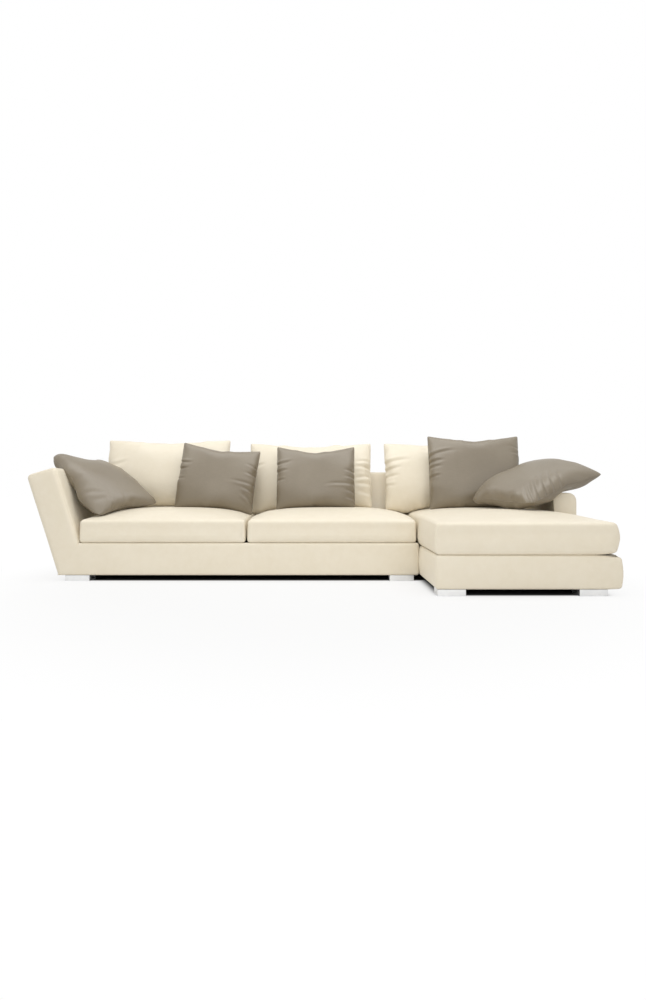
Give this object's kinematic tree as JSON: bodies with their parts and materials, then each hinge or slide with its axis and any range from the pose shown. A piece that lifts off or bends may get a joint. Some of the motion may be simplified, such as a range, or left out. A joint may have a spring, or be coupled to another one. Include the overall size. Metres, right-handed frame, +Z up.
{
  "type": "corner sofa",
  "caption": "Low cream leather corner sofa with one leaning arm, a chaise at the other end, loose seat and back cushions and taupe scatter cushions.",
  "frame": {"origin": "on the floor, under the middle of the box round the whole sofa", "axes": "+X runs to the right as seen from in front, from the leaning arm to the chaise; +Y points to the back; +Z is up"},
  "size_m": [3.585, 1.5539, 0.9402],
  "materials": {
    "cream_leather": "satin, smooth grain",
    "taupe_satin": "soft sheen",
    "foot_steel": "fine brushed",
    "screw_steel": "zinc plated",
    "timber": "sawn",
    "webbing": "woven, matt",
    "deck_cloth": "felt, matt",
    "dust_cloth": "spunbonded, matt",
    "foam": "open-cell foam"
  },
  "bodies": {
    "sofa_frame": {"main_base_cover": "cream_leather", "chaise_base_cover": "cream_leather", "main_back_cover": "cream_leather", "chaise_back_cover": "cream_leather", "left_arm_cover": "cream_leather", "right_arm_cover": "cream_leather", "main_foot_front_left": "foot_steel", "main_foot_front_right": "foot_steel", "main_foot_back_left": "foot_steel", "main_foot_back_right": "foot_steel", "chaise_foot_front_left": "foot_steel", "chaise_foot_front_right": "foot_steel", "chaise_foot_back_left": "foot_steel", "chaise_foot_back_right": "foot_steel", "main_foot_screws": "screw_steel", "chaise_foot_screws": "screw_steel", "link_screws": "screw_steel", "link_plates": "screw_steel", "main_foot_blocks": "timber", "chaise_foot_blocks": "timber", "main_front_rail": "timber", "main_back_rail": "timber", "main_cross_rails": "timber", "chaise_front_rail": "timber", "chaise_back_rail": "timber", "chaise_cross_rails": "timber", "left_arm_ribs": "timber", "left_arm_rail": "timber", "main_back_ribs": "timber", "main_back_top_rail": "timber", "chaise_back_ribs": "timber", "chaise_back_top_rail": "timber", "right_arm_frame": "timber", "main_webbing_across": "webbing", "main_webbing_along": "webbing", "chaise_webbing_across": "webbing", "chaise_webbing_along": "webbing", "main_deck_pad": "deck_cloth", "chaise_deck_pad": "deck_cloth", "main_dust_cover": "dust_cloth", "chaise_dust_cover": "dust_cloth"},
    "left_seat": {"seat_cushion_left": "cream_leather", "seat_core_left": "foam"},
    "right_seat": {"seat_cushion_right": "cream_leather", "seat_core_right": "foam"},
    "chaise_seat": {"chaise_cushion": "cream_leather", "chaise_core": "foam"},
    "left_back_cushion": {"back_cushion_left": "cream_leather"},
    "middle_back_cushion": {"back_cushion_middle": "cream_leather"},
    "right_back_cushion": {"back_cushion_right": "cream_leather"},
    "left_scatter": {"scatter_cushion_left": "taupe_satin"},
    "middle_scatter": {"scatter_cushion_middle": "taupe_satin"},
    "right_scatter": {"scatter_cushion_right": "taupe_satin"},
    "arm_scatter": {"scatter_cushion_arm": "taupe_satin"},
    "over_arm_scatter": {"scatter_cushion_over_arm": "taupe_satin"}
  },
  "joints": [
    {"name": "left_seat_pull", "type": "slide", "parent": "sofa_frame", "child": "left_seat", "axis": [0, -1, 0], "range_m": [0, 0.7]},
    {"name": "right_seat_pull", "type": "slide", "parent": "sofa_frame", "child": "right_seat", "axis": [0, -1, 0], "range_m": [0, 0.7]},
    {"name": "chaise_seat_pull", "type": "slide", "parent": "sofa_frame", "child": "chaise_seat", "axis": [0, -1, 0], "range_m": [0, 1.3]},
    {"name": "left_back_lift", "type": "slide", "parent": "sofa_frame", "child": "left_back_cushion", "axis": [0, 0.2974, 0.9548], "range_m": [0, 0.5]},
    {"name": "middle_back_lift", "type": "slide", "parent": "sofa_frame", "child": "middle_back_cushion", "axis": [0, 0.2974, 0.9548], "range_m": [0, 0.5]},
    {"name": "right_back_lift", "type": "slide", "parent": "sofa_frame", "child": "right_back_cushion", "axis": [0, 0.2974, 0.9548], "range_m": [0, 0.5]},
    {"name": "left_scatter_lift", "type": "slide", "parent": "sofa_frame", "child": "left_scatter", "axis": [0, 0.225, 0.9744], "range_m": [0, 0.6]},
    {"name": "middle_scatter_lift", "type": "slide", "parent": "sofa_frame", "child": "middle_scatter", "axis": [0, 0.2588, 0.9659], "range_m": [0, 0.6]},
    {"name": "right_scatter_lift", "type": "slide", "parent": "sofa_frame", "child": "right_scatter", "axis": [0, 0.2419, 0.9703], "range_m": [0, 0.6]},
    {"name": "arm_scatter_lift", "type": "slide", "parent": "sofa_frame", "child": "arm_scatter", "axis": [0, 0, 1], "range_m": [0, 0.6]},
    {"name": "over_arm_scatter_lift", "type": "slide", "parent": "sofa_frame", "child": "over_arm_scatter", "axis": [0, 0, 1], "range_m": [0, 0.6]}
  ]
}
